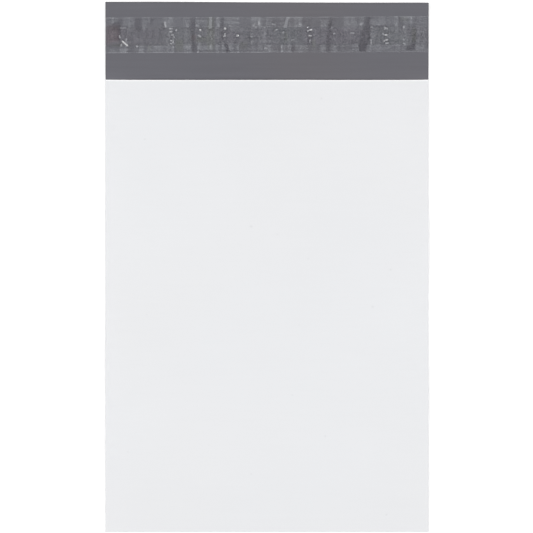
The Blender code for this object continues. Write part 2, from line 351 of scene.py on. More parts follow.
# Gels in the front panel's resin: x, y and radius in millimetres from the middle of the bag
GELS = [
    (-9.3, 23.7, 1.2), (24.3, 4.8, 0.7), (62.1, -23.5, 1), (72.7, -1.7, 0.9), (29, 40.7, 0.6),
    (19, -34.2, 0.6), (14.9, -75.4, 0.8), (34.3, -99.6, 0.9), (-9.3, -122, 0.8), (70.3, -146.1, 0.9),
    (-81.9, -109, 0.7), (-71.9, 75, 0.9), (32, 98.9, 0.9), (33.5, 84.1, 0.6), (-34.1, -104.9, 0.6),
    (-70.7, -28.2, 0.6), (6.1, 19, 0.7),
]
GEL_CORE = 0.2
GEL_DARKEST = 0.93

# The film's sides: screen colours from 0 to 255, and how much lines, mottling and warmth vary
Side = namedtuple("Side", "colour lines mottle warmth roughness specular")
OUTSIDE = Side((238.3, 239.3, 241.4), 0.003, 0.006, 0.0015, 0.5, 0.2)
INSIDE = Side((94, 93, 99), 0.035, 0.02, 0.016, 0.48, 0.5)
# The colour of a painted highlight along the front panel's lip
LIP_HIGHLIGHT = (254, 254, 255)
CUT_TONE = 0.84
CUT_FADE = (0.0004, 0.0009)
CUT_REACH = 0.005
# Just above the mouth the inside's colour is painted lighter: painted light against the shade that the
# raised lip casts on the flap
MOUTH_PAINTED_LIGHT = 1.16
MOUTH_LIGHT_REACH = 0.006
GLOSS_SPREAD = 0.04

# Screen colours of the weld, the adhesive and the liner's haze, and two tints of the adhesive
WELD_DARK = (196, 197, 200)
WELD_PALE = (222, 223, 225)
MELT_DARK = (77, 76, 83)
MELT_PALE = (121, 121, 128)
MELT_WARM = (1.05, 0.97, 1.0, 1)
MELT_GREEN = (0.98, 1.02, 0.97, 1)
HAZE_COLOUR = (223, 226, 232)
# The colour of the painted glints, painted highlights, on the liner's folds and cut edges
PAINTED_GLINT_COLOUR = (246, 246, 246)

# What the liner lets through, and how much of each look it has
LINER_CLEAR = (0.955, 0.955, 0.96, 1)
LINER_WETTED = (0.87, 0.865, 0.875, 1)
LINER_RUDDY = (1.0, 0.976, 0.97, 1)
LINER_OLIVE = (0.994, 1.0, 0.976, 1)
DIM_SHARE = 0.2
MIRROR_SHARE = 0.38
MIRROR_WHITE = 0.02
HAZE_CALM = 0.55
HAZE_SHARE = 0.11
# The share of the painted glints in the liner's look
PAINTED_GLINT_SHARE = 0.42

# What its marks store: haze, dark streaks and rims, and the painted highlight along its cut edges
HAZE_BASE = 0.28
HAZE_MARGIN = 0.28
HAZE_EVEN = 0.6
HAZE_MOST = 3
MARGIN_INSIDE = 0.0012
MARGIN_OUTSIDE = 0.0004
WETTED_DARK = 0.85
BUBBLE_DARK = 0.2
BESIDE_DARK = 0.9
EDGE_GLINT_WIDTH = (0.0002, 0.0007)
EDGE_GLINT_BASE = 0.06
EDGE_GLINT_AIRED = 0.05
EDGE_GLINT_SIDES = (1.8, 1.2)

# The part of a noise's values that a look is spread over
NOISE_SPAN = (0.3, 0.7)

# Mesh steps, in pairs fine and coarse. The film's change from 0.5 to 1.5 of FILM_REACH from a weld.
FILM_STEPS = (0.0008, 0.0022)
FILM_REACH = 0.013
ROW_STEP = 0.0015
BACK_STEP = 0.005
CREASE_ROWS = 10
BAND_STEP = 0.0006
SHARP_ANGLE = 60

# The liner's columns are fine near folds that show, and its lines near its middle
COLUMN_STEPS = (0.00023, 0.00055)
COLUMN_MARGIN = 0.0004
COLUMN_GRADING = 0.0012
LINE_STEPS = (0.00025, 0.000385)
LINE_FINE_HALF = 0.0072
LINE_GRADING = 0.001

# The camera's pixels: their size, how many are across, and where the middle one is
PIXEL = 0.0005894
PIXELS_ACROSS = 533
MIDDLE_PIXEL = (-0.5, 0.3)


def smooth(low, high, value):
    """0 below low and 1 above high, with a soft turn between."""
    share = np.clip((value - low) / (high - low), 0, 1)
    return share * share * (3 - 2 * share)


def between(low, high, share):
    """The value at this share of the way from low to high, and not past them."""
    return low + (high - low) * min(max(share, 0), 1)


def wander(place, wave, seed, count=5, shortest=0.6, longest=1.9, peak=3):
    """Smooth seeded noise along a line, within about -1 to 1, whose swings are about wave long."""
    rng = np.random.default_rng(seed)
    total = 0
    for _ in range(count):
        length = wave * rng.uniform(shortest, longest)
        total = total + np.sin(math.tau * place / length + rng.uniform(0, math.tau))
    return total / peak


def uneven(place, wave, seed):
    return wave.mean + wave.swing * wander(place, wave.length, seed)


def uneven_sides(x, y, wave, seed):
    """uneven() along the bag, with a seed for each of its sides."""
    return np.where(x < 0, uneven(y, wave, seed), uneven(y, wave, seed + 1))


def swell(x, y, wave, seed, count=9, shortest=0.7, longest=1.6, peak=4.95):
    """Smooth seeded noise over a surface, within about -1 to 1."""
    rng = np.random.default_rng(seed)
    total = 0
    for _ in range(count):
        turn = rng.uniform(0, math.tau)
        length = wave * rng.uniform(shortest, longest)
        along = (x * math.cos(turn) + y * math.sin(turn)) / length
        total = total + np.sin(math.tau * along + rng.uniform(0, math.tau))
    return total / peak


# The film's shape


def flap_depth(x):
    return FLAP_LEFT + (FLAP_RIGHT - FLAP_LEFT) * (x / BAG_WIDTH + 0.5)


def ground(x, y):
    """How high the back panel and the flap lie off the table."""
    from_edge = FILM_HALF_WIDTH - abs(x)
    edge = EDGE_LIFT * uneven_sides(x, y, EDGE_UNEVEN, SEED) ** 2 * np.exp(-((from_edge / EDGE_REACH) ** 2))
    out = np.clip((y - MOUTH_Y) / FLAP_LEFT, 0, 1)
    ripple = RIPPLE * smooth(0, RIPPLE_GROWS, out) * uneven(x, RIPPLE_UNEVEN, SEED + 2)
    curl = CURL * out**CURL_POWER * uneven(x, CURL_UNEVEN, SEED + 3)
    return np.maximum(edge * (1 - EDGE_FADES * out) + ripple + curl, 0)


def puckers(x, y):
    """Small ripples that fan out from the side welds where they drew the film in."""
    total = 0
    for index, pucker in enumerate(PUCKERS):
        inward = POCKET_HALF_WIDTH - pucker.side * x
        near = np.exp(-((y - pucker.at) ** 2) / pucker.reach**2)
        fade = np.exp(-inward / PUCKER_DEPTH) * smooth(0, PUCKER_START, inward)
        bend = y + PUCKER_BEND * inward * wander(y, BEND_WAVE, SEED + index)
        total = total + pucker.height * near * fade * np.sin(math.tau * bend / PUCKER_WAVE + index)
    return total


def creases(x, y):
    """The long soft creases that handling left in the front panel."""
    total = 0
    for crease in CREASES:
        turn = math.radians(crease.turn)
        along = (x - crease.x) * math.cos(turn) + (y - crease.y) * math.sin(turn)
        across = (y - crease.y) * math.cos(turn) - (x - crease.x) * math.sin(turn)
        across = across + CREASE_BEND * np.sin(along / CREASE_BEND_RUN)
        fade = 1 - smooth(CREASE_CORE * crease.length, crease.length / 2, abs(along))
        total = total + crease.height * fade / (1 + (across / crease.width) ** 2)
    return total


def weld_ripple(x, y):
    """The fine uneven ripple all along both welds."""
    inward = POCKET_HALF_WIDTH - abs(x)
    ripple = uneven_sides(x, y, WELD_RIPPLE, SEED + 8)
    return ripple * np.exp(-inward / WELD_RIPPLE_DEPTH) * smooth(0, WELD_RIPPLE_START, inward)


def front_rise(x, y):
    """How far the front panel stands off the back one, ripples and all."""
    across = np.minimum(abs(x) / POCKET_HALF_WIDTH, 1)
    along = np.clip((y - CREASE_Y) / PANEL_RUN, 0, 1)
    held = (1 - across**WELD_FULLNESS) * (1 - (1 - along) ** CREASE_FULLNESS)
    loft = PANEL_LOFT + (LIP_LOFT - PANEL_LOFT) * along**LIP_FULLNESS
    wave = np.sin(math.tau * (y + x / 2) / WAVE_LENGTH) * np.cos(math.tau * x / WAVE_LENGTH)
    loft = loft + WAVE_HEIGHT * wave + PANEL_SWELL * swell(x, y, SWELL_WAVE, SEED + 4)
    lip = np.exp(-(((MOUTH_Y - y) / LIP_REACH) ** 2))
    loft = loft + LIP_RIPPLE * lip * wander(x, LIP_RIPPLE_WAVE, SEED + 5) + creases(x, y)
    ripples = (puckers(x, y) + weld_ripple(x, y)) * smooth(0, RIPPLES_GROW, along)
    return np.maximum(held * loft + ripples, 0)


def steps(low, high, size):
    """Places from low to high, about size apart."""
    return np.linspace(low, high, max(2, round(abs(high - low) / size) + 1))


def graded(low, high, step_at):
    """Places from low to high whose spacing follows step_at, then shrunk a little to end on high."""
    places = [low]
    while places[-1] < high:
        places.append(places[-1] + step_at(places[-1]))
    places = np.array(places)
    return low + (places - low) * (high - low) / (places[-1] - low)


def film_columns():
    """Places across the film, closer together near the welds. The outermost few span the welds."""
    def step_at(x):
        from_weld = POCKET_HALF_WIDTH - abs(x)
        return between(*FILM_STEPS, from_weld / FILM_REACH - 0.5)

    inner = graded(-POCKET_HALF_WIDTH, POCKET_HALF_WIDTH, step_at)
    outer = steps(0, WELD_WIDTH, WELD_WIDTH / 2)[1:]
    return np.concatenate((-(POCKET_HALF_WIDTH + outer[::-1]), inner, POCKET_HALF_WIDTH + outer))


def film_rows(x):
    """Middle-surface points (x, y, z) of all columns, row by row from the flap's cut edge to the lip."""
    rows = []
    for share in steps(1, 0, ROW_STEP / FLAP_LEFT)[:-1]:
        y = MOUTH_Y + share * (flap_depth(x) - FLAP_SHORT)
        wider = 1 + (STRIP_HALF_WIDTH / FILM_HALF_WIDTH - 1) * min(1, share / FLAP_WIDENS)
        rows.append((x * wider, y, FILM_GAUGE / 2 + ground(x, y)))
    for place in steps(MOUTH_Y, CREASE_Y, BACK_STEP)[:-1]:
        y = np.full_like(x, place)
        rows.append((x, y, FILM_GAUGE / 2 + ground(x, y)))
    floor = FILM_GAUGE / 2 + ground(x, np.full_like(x, CREASE_Y))
    for turn in np.linspace(0, math.pi, CREASE_ROWS):
        y = np.full_like(x, CREASE_Y - CREASE_RADIUS * math.sin(turn))
        rows.append((x, y, floor + CREASE_RADIUS * (1 - math.cos(turn))))
    draw_back = LIP_SHORT + LIP_DRAWN * (1 - (abs(x) / FILM_HALF_WIDTH) ** LIP_SQUARE)
    for share in steps(0, 1, ROW_STEP / PANEL_RUN)[1:]:
        y = CREASE_Y + share * (PANEL_RUN - draw_back)
        rows.append((x, y, FILM_GAUGE / 2 + 2 * CREASE_RADIUS + ground(x, y) + front_rise(x, y)))
    return rows


# Mesh building


def add_object(name, data):
    made = bpy.data.objects.new(name, data)
    bpy.context.scene.collection.objects.link(made)
    return made


def add_mesh(name, points, faces, materials, slots):
    """slots is the number of each face's material."""
    mesh = bpy.data.meshes.new(name)
    mesh.from_pydata(points.reshape(-1, 3).tolist(), [], faces)
    for material in materials:
        mesh.materials.append(material)
    mesh.polygons.foreach_set("material_index", slots)
    mesh.shade_smooth()
    mesh.validate()
    return add_object(name, mesh)


def shell(name, middle, thickness, materials):
    """A closed sheet around a grid of points, middle[row, column].

    thickness is one value or one for each point. The rim and the face towards cross(across, along) have
    the first of the materials, and the face behind has the last.
    """
    along = np.gradient(middle, axis=0)
    across = np.gradient(middle, axis=1)
    normal = np.cross(across, along)
    normal /= np.linalg.norm(normal, axis=2, keepdims=True)
    half = np.broadcast_to(thickness, middle.shape[:2])[..., None] / 2
    points = np.concatenate((middle + normal * half, middle - normal * half))

    rows, columns = middle.shape[:2]
    count = rows * columns
    index = np.arange(count).reshape(rows, columns)
    corners = (index[:-1, :-1], index[:-1, 1:], index[1:, 1:], index[1:, :-1])
    front = np.stack(corners, axis=-1).reshape(-1, 4)
    back = front[:, ::-1] + count
    border = np.concatenate((index[0, :-1], index[:-1, -1], index[-1, :0:-1], index[:0:-1, 0]))
    after = np.roll(border, -1)
    rim = np.stack((after, border, border + count, after + count), axis=-1)
    slots = np.zeros(len(front) + len(back) + len(rim), np.int32)
    slots[len(front) : len(front) + len(back)] = len(materials) - 1

    made = add_mesh(name, points, np.concatenate((front, back, rim)).tolist(), materials, slots)
    made.data.set_sharp_from_angle(angle=math.radians(SHARP_ANGLE))
    return made


def mark(piece, name, values):
    """Stores a number for each grid point, on both of a shell's faces, for its material to read."""
    attribute = piece.data.attributes.new(name, "FLOAT", "POINT")
    both = np.concatenate((values.ravel(), values.ravel())).astype(np.float32)
    attribute.data.foreach_set("value", both)


def grid_of(rows):
    return np.stack([np.stack(row, axis=-1) for row in rows])


# Materials


def fill(tree, socket, value):
    """Gives a socket a plain value, or links an output to it. A node stands for its first output."""
    if isinstance(value, bpy.types.Node):
        value = value.outputs[0]
    if isinstance(value, bpy.types.NodeSocket):
        tree.links.new(value, socket)
    else:
        socket.default_value = value


def add_node(tree, kind, inputs=None, **settings):
    """Adds a node. inputs maps a socket's name or number to what fill takes."""
    made = tree.nodes.new("ShaderNode" + kind)
    for name, value in settings.items():
        setattr(made, name, value)
    for key, value in (inputs or {}).items():
        fill(tree, made.inputs[key], value)
    return made


def screen_colour(red, green, blue):
    """A colour given as it looks on a screen, 0 to 255, as the linear values that a shader takes."""
    def linear(value):
        share = value / 255
        return share / 12.92 if share <= 0.04045 else ((share + 0.055) / 1.055) ** 2.4

    return (linear(red), linear(green), linear(blue), 1)


def new_tree(name):
    material = bpy.data.materials.new(name)
    material.use_nodes = True
    material.node_tree.nodes.clear()
    return material, material.node_tree


def finish_tree(tree, surface):
    add_node(tree, "OutputMaterial", {"Surface": surface})


def own_place(tree):
    """Where a point is, in the piece's own metres."""
    return add_node(tree, "TexCoord").outputs["Object"]


def marked(tree, name):
    """The numbers that mark() stored under this name."""
    return add_node(tree, "Attribute", attribute_name=name).outputs["Fac"]


def noise(tree, scale, stretch=(1, 1, 1), detail=3, shift=0):
    """Noise in the piece's own metres; stretch below 1 draws it out along that axis."""
    place = {"Vector": own_place(tree), "Scale": stretch, "Location": (shift, shift, 0)}
    mapped = add_node(tree, "Mapping", place)
    return add_node(tree, "TexNoise", {"Vector": mapped, "Scale": scale, "Detail": detail})


def remap(tree, value, low, high, to_low, to_high):
    inputs = {"Value": value, "From Min": low, "From Max": high, "To Min": to_low, "To Max": to_high}
    return add_node(tree, "MapRange", inputs)


def maths(tree, operation, first, second, clamp=False):
    return add_node(tree, "Math", {0: first, 1: second}, operation=operation, use_clamp=clamp)


def weighted_sum(tree, *parts):
    """The sum of noises, each times its weight."""
    total = 0
    for part, weight in parts:
        total = maths(tree, "ADD", total, maths(tree, "MULTIPLY", part, weight))
    return total


def scaled(tree, colour, share):
    return add_node(tree, "VectorMath", {0: colour, "Scale": share}, operation="SCALE")


def blend(tree, share, first, second, blend_type="MIX"):
    made = tree.nodes.new("ShaderNodeMix")
    made.data_type = "RGBA"
    made.blend_type = blend_type
    sockets = {socket.name: socket for socket in made.inputs if socket.enabled}
    for key, value in (("Factor", share), ("A", first), ("B", second)):
        fill(tree, sockets[key], value)
    return next(socket for socket in made.outputs if socket.enabled)


def bump(tree, height, distance, strength=1):
    return add_node(tree, "Bump", {"Height": height, "Distance": distance, "Strength": strength})


def plastic(tree, colour, roughness, normal, specular=0.5):
    inputs = {"Base Color": colour, "Roughness": roughness, "Normal": normal}
    return add_node(tree, "BsdfPrincipled", {**inputs, "Specular IOR Level": specular})


def gels(tree):
    """Up to 1 at the gels' middles and 0 away from them."""
    flat = add_node(tree, "VectorMath", {0: own_place(tree), 1: (1, 1, 0)}, operation="MULTIPLY")
    total = 0.0
    for x, y, radius in GELS:
        centre = (x * MM, y * MM, 0)
        away = add_node(tree, "VectorMath", {0: flat, 1: centre}, operation="DISTANCE").outputs["Value"]
        near = remap(tree, away, radius * MM, GEL_CORE * radius * MM, 0, min(1, radius))
        total = maths(tree, "MAXIMUM", near, total)
    return total


def film_base(tree, side):
    """The film's colour, with faint lines along the web, mottling and a slow drift of warmth."""
    web_lines = noise(tree, 700, stretch=(0.03, 1, 1), detail=2)
    lines = remap(tree, web_lines, *NOISE_SPAN, 1 - side.lines, 1 + side.lines)
    mottle = noise(tree, 16, detail=4, shift=3)
    clouds = remap(tree, mottle, *NOISE_SPAN, 1 - side.mottle, 1 + side.mottle)
    tone = maths(tree, "MULTIPLY", lines, clouds)
    drift = remap(tree, noise(tree, 9, detail=1, shift=9), 0.4, 0.6, 0, 1)
    red, green, blue, opaque = screen_colour(*side.colour)
    cool = (red * (1 - side.warmth), green, blue * (1 + side.warmth), opaque)
    warm = (red * (1 + side.warmth), green, blue * (1 - side.warmth), opaque)
    return scaled(tree, blend(tree, drift, cool, warm), tone), web_lines


def show_gels_and_lip_highlight(tree, base):
    """The outside's specks, and a painted highlight along the mouth's cut edge."""
    base = blend(tree, gels(tree), base, scaled(tree, base, GEL_DARKEST))
    # Painted highlight: the front panel's last row of points, at the lip, is painted bright
    lip = remap(tree, marked(tree, "lip"), 0.4, 0.52, 0, 1)
    return blend(tree, lip, base, screen_colour(*LIP_HIGHLIGHT))


def darken_edges_and_paint_mouth_light(tree, base):
    """The inside is darker along its cut edges, and painted lighter just above the mouth: painted light
    that evens out the shade of the raised lip.
    """
    edge = remap(tree, marked(tree, "inward"), *CUT_FADE, CUT_TONE, 1)
    y = add_node(tree, "SeparateXYZ", {"Vector": own_place(tree)}).outputs["Y"]
    # Painted light: the flap is painted lighter near the mouth, where the lip shades it
    mouth = remap(tree, y, MOUTH_Y, MOUTH_Y + MOUTH_LIGHT_REACH, MOUTH_PAINTED_LIGHT, 1)
    return scaled(tree, base, maths(tree, "MULTIPLY", edge, mouth))


def film_material(name, side, add_marks):
    """Polyethylene film. add_marks paints what only this side of it shows."""
    material, tree = new_tree(name)
    base, web_lines = film_base(tree, side)
    base = add_marks(tree, base)
    grain = noise(tree, 2600, detail=2)
    relief = maths(tree, "ADD", web_lines, maths(tree, "MULTIPLY", grain, 0.5))
    normal = bump(tree, relief, distance=0.00002, strength=0.5)
    glossy = side.roughness - GLOSS_SPREAD
    dull = side.roughness + GLOSS_SPREAD
    roughness = remap(tree, noise(tree, 60, shift=7), *NOISE_SPAN, glossy, dull)
    finish_tree(tree, plastic(tree, base, roughness, normal, side.specular))
    return material


def weld_material():
    """Both films melted together, a little greyer and glossier than the film."""
    material, tree = new_tree("melted_edge")
    lumps = noise(tree, 700, stretch=(1, 0.5, 1))
    share = remap(tree, lumps, *NOISE_SPAN, 0, 1)
    base = blend(tree, share, screen_colour(*WELD_DARK), screen_colour(*WELD_PALE))
    finish_tree(tree, plastic(tree, base, roughness=0.3, normal=bump(tree, lumps, distance=0.00006)))
    return material


def hot_melt_material():
    """Grainy and streaky adhesive on the grey film, with faint warm and green patches."""
    material, tree = new_tree("hot_melt")
    streaks = noise(tree, 420, stretch=(1, 0.12, 1))
    grain = noise(tree, 1150, detail=2, shift=2)
    tone = weighted_sum(tree, (streaks, 0.3), (grain, 0.7))
    share = remap(tree, tone, 0.36, 0.64, 0, 1)
    base = blend(tree, share, screen_colour(*MELT_DARK), screen_colour(*MELT_PALE))
    patches = noise(tree, 34, stretch=(1, 0.6, 1), detail=1, shift=5)
    tint = blend(tree, remap(tree, patches, 0.35, 0.65, 0, 1), MELT_WARM, MELT_GREEN)
    base = blend(tree, 0.8, base, tint, "MULTIPLY")
    ragged = remap(tree, tone, 0.4, 0.6, 2.2, 0.9)
    body = maths(tree, "MULTIPLY", marked(tree, "body"), ragged, clamp=True)
    base = blend(tree, body, screen_colour(*INSIDE.colour), base)
    finish_tree(tree, plastic(tree, base, roughness=0.25, normal=bump(tree, tone, distance=0.00012)))
    return material


def liner_colour(tree, lines, streaks, grain):
    """What the liner lets through: less where it is wetted, along streaks and lines, and tinted."""
    dimmed = maths(tree, "MULTIPLY", marked(tree, "wetted"), remap(tree, grain, 0.35, 0.65, 0.6, 1.2))
    dimmed = maths(tree, "ADD", dimmed, remap(tree, streaks, 0.45, 0.3, 0, DIM_SHARE))
    dimmed = maths(tree, "ADD", dimmed, remap(tree, lines, 0.45, 0.3, 0, DIM_SHARE), clamp=True)
    clear = blend(tree, dimmed, LINER_CLEAR, LINER_WETTED)
    red = marked(tree, "red")
    ruddy = maths(tree, "MAXIMUM", red, 0, clamp=True)
    clear = blend(tree, ruddy, clear, LINER_RUDDY, "MULTIPLY")
    olive = maths(tree, "MULTIPLY", red, -1, clamp=True)
    return blend(tree, olive, clear, LINER_OLIVE, "MULTIPLY")


def liner_haze(tree, white, lines, streaks, grain):
    """How much of the liner is milky over air, and how much painted glint it carries where it is marked
    white.
    """
    texture = weighted_sum(tree, (lines, 0.4), (streaks, 0.35), (grain, 0.25))
    milky = remap(tree, texture, 0.42, 0.6, 0.15, 0.95)
    milky = add_node(tree, "Mix", {0: marked(tree, "calm"), 2: milky, 3: HAZE_CALM})
    airy = maths(tree, "MULTIPLY", maths(tree, "MULTIPLY", marked(tree, "aired"), milky), HAZE_SHARE)
    return maths(tree, "ADD", airy, maths(tree, "MULTIPLY", white, PAINTED_GLINT_SHARE), clamp=True)


def liner_material():
    """Clear siliconed film: it mirrors a little, is milky over air and dark where it is wetted, and carries
    painted glints.
    """
    material, tree = new_tree("clear_liner")
    white = marked(tree, "white")
    lines = noise(tree, 1000, stretch=(0.04, 1, 1), detail=2)
    streaks = noise(tree, 430, stretch=(1, 0.1, 1), shift=4)
    grain = noise(tree, 1300, detail=2, shift=6)
    see_through = add_node(tree, "BsdfTransparent", {"Color": liner_colour(tree, lines, streaks, grain)})
    normal = bump(tree, maths(tree, "ADD", lines, streaks), distance=0.00005, strength=0.6)
    mirror = add_node(tree, "BsdfAnisotropic", {"Color": (1, 1, 1, 1), "Roughness": 0.1, "Normal": normal})
    fresnel = add_node(tree, "Fresnel", {"IOR": 1.45, "Normal": normal})
    facing = maths(tree, "SUBTRACT", 1, add_node(tree, "NewGeometry").outputs["Backfacing"])
    mirrored = maths(tree, "MULTIPLY", maths(tree, "MULTIPLY", fresnel, facing), MIRROR_SHARE)
    mirrored = maths(tree, "ADD", mirrored, maths(tree, "MULTIPLY", white, MIRROR_WHITE))
    glossy = add_node(tree, "MixShader", {0: mirrored, 1: see_through, 2: mirror})
    # Painted highlight: where marked white, the haze turns to the bright colour of a glint
    pale = blend(tree, white, screen_colour(*HAZE_COLOUR), screen_colour(*PAINTED_GLINT_COLOUR))
    haze = plastic(tree, pale, roughness=0.3, normal=normal)
    amount = liner_haze(tree, white, lines, streaks, grain)
    finish_tree(tree, add_node(tree, "MixShader", {0: amount, 1: glossy, 2: haze}))
    return material


# Pieces


def make_film(outside, inside):
    x = film_columns()
    middle = grid_of(film_rows(x))
    film = shell("mailer_film_skin", middle, FILM_GAUGE, [outside, inside])
    lip = np.zeros(middle.shape[:2])
    lip[-1] = 1
    mark(film, "lip", lip)
    from_side = FILM_HALF_WIDTH - abs(x)
    from_end = MOUTH_Y + flap_depth(x) - middle[..., 1]
    mark(film, "inward", np.minimum(np.minimum(from_side, from_end), CUT_REACH))
    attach(film, "root")
    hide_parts("mailer_film")


def make_weld(side, material):
    """The melted bead that closes one side, a lumpy bar that rounds the films' cut edges."""
    y = steps(CREASE_Y, MOUTH_Y - WELD_INSET, ROW_STEP)
    edge = side * FILM_HALF_WIDTH
    middle_z = FILM_GAUGE / 2 + CREASE_RADIUS + ground(np.full_like(y, edge), y)
    proud = BEAD_PROUD * uneven(y, BEAD_OUT, SEED + 20 + side)
    half_height = CREASE_RADIUS + FILM_GAUGE * uneven(y, BEAD_UP, SEED + 30 + side)
    rows = []
    for turn in np.linspace(0, math.tau, BEAD_SIDES + 1)[:-1]:
        out = np.where(math.cos(turn) > 0, np.maximum(proud, BEAD_LEAST), BEAD_INWARD * WELD_WIDTH)
        x = edge + side * out * math.cos(turn)
        rows.append((x, y, middle_z + half_height * math.sin(turn)))
    tube = grid_of(rows)
    count, length = tube.shape[:2]
    index = np.arange(count * length).reshape(count, length)
    after = np.roll(index, -1, axis=0)
    faces = np.stack((index[:, :-1], index[:, 1:], after[:, 1:], after[:, :-1]), axis=-1).reshape(-1, 4)
    ends = [index[:, 0].tolist(), index[::-1, -1].tolist()]
    if side > 0:
        faces = faces[:, ::-1]
        ends = [end[::-1] for end in ends]
    name = "side_weld_right" if side > 0 else "side_weld_left"
    faces = faces.tolist() + ends
    weld = add_mesh(name, tube, faces, [material], np.zeros(len(faces), np.int32))
    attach(weld, "root")
    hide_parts("mailer_film")


def strip_y(x, v):
    """The bag's y at v above the middle line of the flap's strips, which run a little askew."""
    return STRIP_Y + STRIP_SLOPE * x + v


def make_band(material):
    x = steps(-STRIP_HALF_WIDTH, STRIP_HALF_WIDTH, BAND_STEP)
    rows = []
    thickness = []
    fade = []
    for v in steps(BAND_WIDTH / 2, -BAND_WIDTH / 2, BAND_STEP):
        wobble = uneven(x, BAND_WOBBLE, SEED + (40 if v > 0 else 41))
        edge = wobble * smooth(*BAND_WOBBLE_PLACE, abs(v))
        y = strip_y(x, BAND_DROP + v + edge * math.copysign(1, v))
        from_edge = BAND_WIDTH / 2 - abs(v)
        taper = BAND_EDGE_SHARE + (1 - BAND_EDGE_SHARE) * smooth(-BAND_EDGE / 2, BAND_EDGE, from_edge)
        depth = BAND_THICKNESS * taper * (1 + BAND_LUMPS * swell(x, y, BAND_LUMP_WAVE, SEED + 42))
        seat = FILM_GAUGE + ground(x, y) + BAND_SEAT
        rows.append((x, y, seat + depth / 2))
        thickness.append(depth)
        fade.append(np.full_like(x, smooth(0, BAND_FADE, from_edge)))
    band = shell("adhesive_band_skin", grid_of(rows), np.stack(thickness), [material])
    mark(band, "body", np.stack(fade))
    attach(band, "root")
    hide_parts("adhesive_band")


def streak_share(streak, x, v, softness):
    """How much a point lies on a streak, from 0 to 1. All are in millimetres."""
    side, end = softness
    middle = (streak.low + streak.high) / 2
    half = (streak.high - streak.low) / 2
    centre = streak.at + streak.lean * (v - middle) / (2 * half)
    from_side = abs(x - centre) - streak.width / 2
    from_end = abs(v - middle) - half
    return (1 - smooth(-side, side, from_side)) * (1 - smooth(-end, end, from_end))


def streak_field(streaks, x, v, softness):
    return sum(streak.amount * streak_share(streak, x, v, softness) for streak in streaks)


def tint_share(tint, x, v):
    """How much a point lies on a tint, from 0 to 1. All are in millimetres."""
    across = 2 * abs(x - tint.at) / tint.width
    along = 2 * abs(v - tint.above) / tint.height
    return (1 - smooth(*TINT_FADE, across)) * (1 - smooth(*TINT_FADE, along))


def fold_field(x, v):
    """Height of the sharp folds, how bright a glint is painted on them, and how flat it lies just beside
    them.
    """
    height = np.zeros_like(x)
    white = np.zeros_like(x)
    beside = np.zeros_like(x)
    for fold in FOLDS:
        away_x = x - fold.at * MM
        away_v = v - fold.above * MM
        length = fold.length * MM
        width = fold.width * MM
        turn = math.radians(fold.turn)
        along = away_x * math.cos(turn) + away_v * math.sin(turn)
        across = away_v * math.cos(turn) - away_x * math.sin(turn)
        # A steep fold turns its gentle slope away from the bag's middle
        if abs(fold.turn) > FOLD_STEEP and fold.turn * fold.at > 0:
            across = -across
        slope = FOLD_SLOPE * (1 if fold.white > FOLD_SHARP else FOLD_BLUNT)
        tall = min(slope * width, FOLD_TALLEST)
        front = slope * (width / 2 - across)
        back = (across + width / 2 + FOLD_BACK * width) * tall / (FOLD_BACK * width)
        ends = (length / 2 + FOLD_END - abs(along)) * tall / FOLD_END
        roof = np.minimum(np.minimum(front, back), np.minimum(ends, tall))
        height = np.maximum(height, roof)
        # The painted glint, a painted highlight, over the top of each fold
        pale_across, clear_across = PALE_ACROSS
        inside = 1 - smooth(pale_across * width, clear_across * width, abs(across))
        inside = inside * (1 - smooth(PALE_ALONG * length, length / 2 + PALE_PAST_END, abs(along)))
        white = np.maximum(white, fold.white * inside)
        beyond = np.maximum(abs(across) - width / 2, abs(along) - length / 2)
        around = smooth(0, BESIDE_START, beyond) * (1 - smooth(*BESIDE_FADE, beyond))
        beside = np.maximum(beside, around * min(1, BESIDE_STRENGTH * fold.white))
    return np.maximum(height, 0), white, beside * (1 - np.clip(BESIDE_HIDDEN * white, 0, 1))


def bubble_field(x, v):
    """Height of the small trapped bubbles, and how near each point is to the rim of one."""
    rng = np.random.default_rng(SEED + 50)
    height = np.zeros_like(x)
    rim = np.zeros_like(x)
    for group in BUBBLES:
        for _ in range(group.count):
            centre_x = (group.at + rng.uniform(-1, 1) * group.scatter) * MM
            centre_v = rng.uniform(group.low, group.high) * MM
            radius = rng.uniform(*BUBBLE_RADIUS)
            away = np.hypot(x - centre_x, (v - centre_v) * rng.uniform(*BUBBLE_STRETCH)) / radius
            tall = BUBBLE_HEIGHT * rng.uniform(*BUBBLE_TALL)
            height = np.maximum(height, tall * (1 - smooth(*BUBBLE_DOME, away)))
            rim = np.maximum(rim, smooth(*BUBBLE_RIM, away) * (1 - smooth(*RIM_FADE, away)))
    return height, rim


def liner_columns():
    """Places across the liner, closer together at the folds that show."""
    shown = [fold for fold in FOLDS if fold.white > FOLD_SHOWN]
    middles = np.array([fold.at * MM for fold in shown])
    widest = [max(f.length * abs(math.cos(math.radians(f.turn))), f.width) for f in shown]
    reaches = MM / 2 * np.array(widest)

    def step_at(x):
        away = (abs(middles - x) - reaches).min()
        return between(*COLUMN_STEPS, (away - COLUMN_MARGIN) / COLUMN_GRADING)

    return graded(-STRIP_HALF_WIDTH, STRIP_HALF_WIDTH, step_at)


def liner_lines():
    """Places along the liner from its top edge down, closer together in its middle part."""
    def step_at(v):
        return between(*LINE_STEPS, (abs(v) - LINE_FINE_HALF) / LINE_GRADING)

    return graded(-LINER_WIDTH / 2, LINER_WIDTH / 2, step_at)[::-1]


